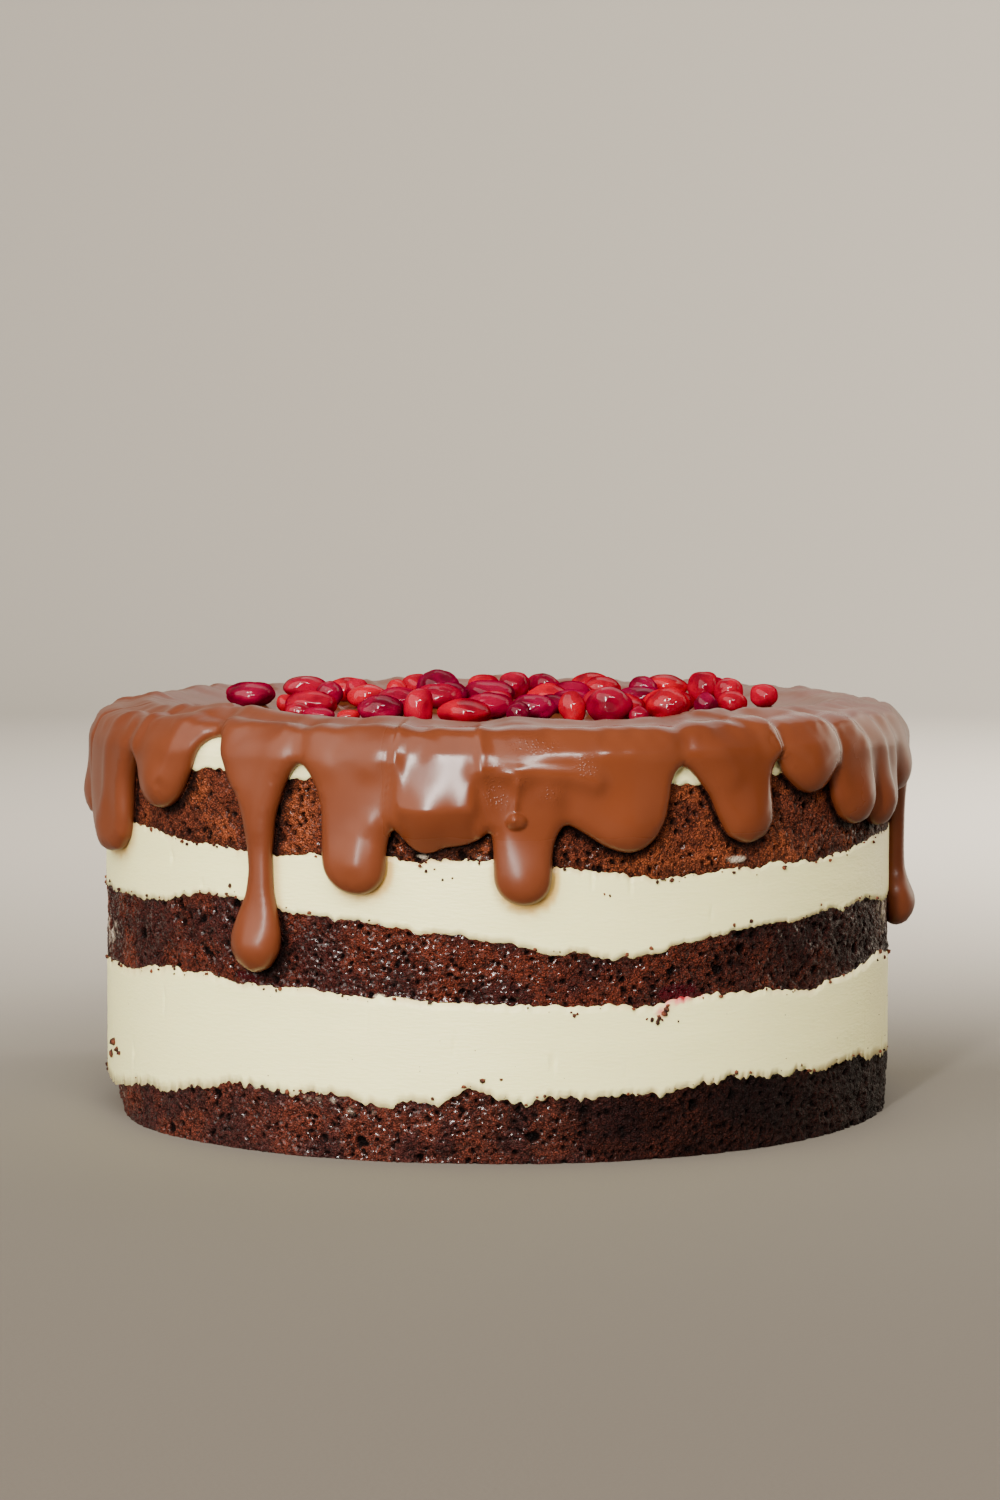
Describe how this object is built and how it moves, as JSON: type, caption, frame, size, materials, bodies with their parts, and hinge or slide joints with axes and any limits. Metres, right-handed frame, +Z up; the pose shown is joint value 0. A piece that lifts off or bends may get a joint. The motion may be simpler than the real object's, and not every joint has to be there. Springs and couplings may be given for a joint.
{
  "type": "chocolate layer cake",
  "caption": "Round chocolate sponge and cream layer cake with bare sides, a poured milk chocolate glaze dripping down the side, and glossy red berries on top.",
  "frame": {"origin": "middle of the cake's flat foot", "axes": "+Z up along the cake's axis; the side with the measured drips faces -Y, and +X is to the right of someone who looks at that side"},
  "size_m": [0.2122, 0.2119, 0.1091],
  "materials": {
    "sponge": "moist dark chocolate crumb with open pores",
    "cream": "smooth scraped ivory cream with a soft sheen",
    "glaze": "satin-glossy milk chocolate glaze",
    "berry": "wet glossy red berries"
  },
  "bodies": {
    "root": {"berry_01": "berry", "berry_02": "berry", "berry_03": "berry", "berry_04": "berry", "berry_05": "berry", "berry_06": "berry", "berry_07": "berry", "berry_08": "berry", "berry_09": "berry", "berry_10": "berry", "berry_11": "berry", "berry_12": "berry", "berry_13": "berry", "berry_14": "berry", "berry_15": "berry", "berry_16": "berry", "berry_17": "berry", "berry_18": "berry", "berry_19": "berry", "berry_20": "berry", "berry_21": "berry", "berry_22": "berry", "berry_23": "berry", "berry_24": "berry", "berry_25": "berry", "berry_26": "berry", "berry_27": "berry", "berry_28": "berry", "berry_29": "berry", "berry_30": "berry", "berry_31": "berry", "berry_32": "berry", "berry_33": "berry", "berry_34": "berry", "berry_35": "berry", "berry_36": "berry", "berry_37": "berry", "berry_38": "berry", "berry_39": "berry", "berry_40": "berry", "berry_41": "berry", "berry_42": "berry", "berry_43": "berry", "berry_44": "berry", "berry_45": "berry", "berry_46": "berry", "berry_47": "berry", "berry_48": "berry", "berry_49": "berry", "berry_50": "berry", "berry_51": "berry", "berry_52": "berry", "cream_cap": "cream", "cream_lower": "cream", "cream_upper": "cream", "ganache_glaze": "glaze", "sponge_base": "sponge", "sponge_middle": "sponge", "sponge_top": "sponge"}
  },
  "joints": []
}
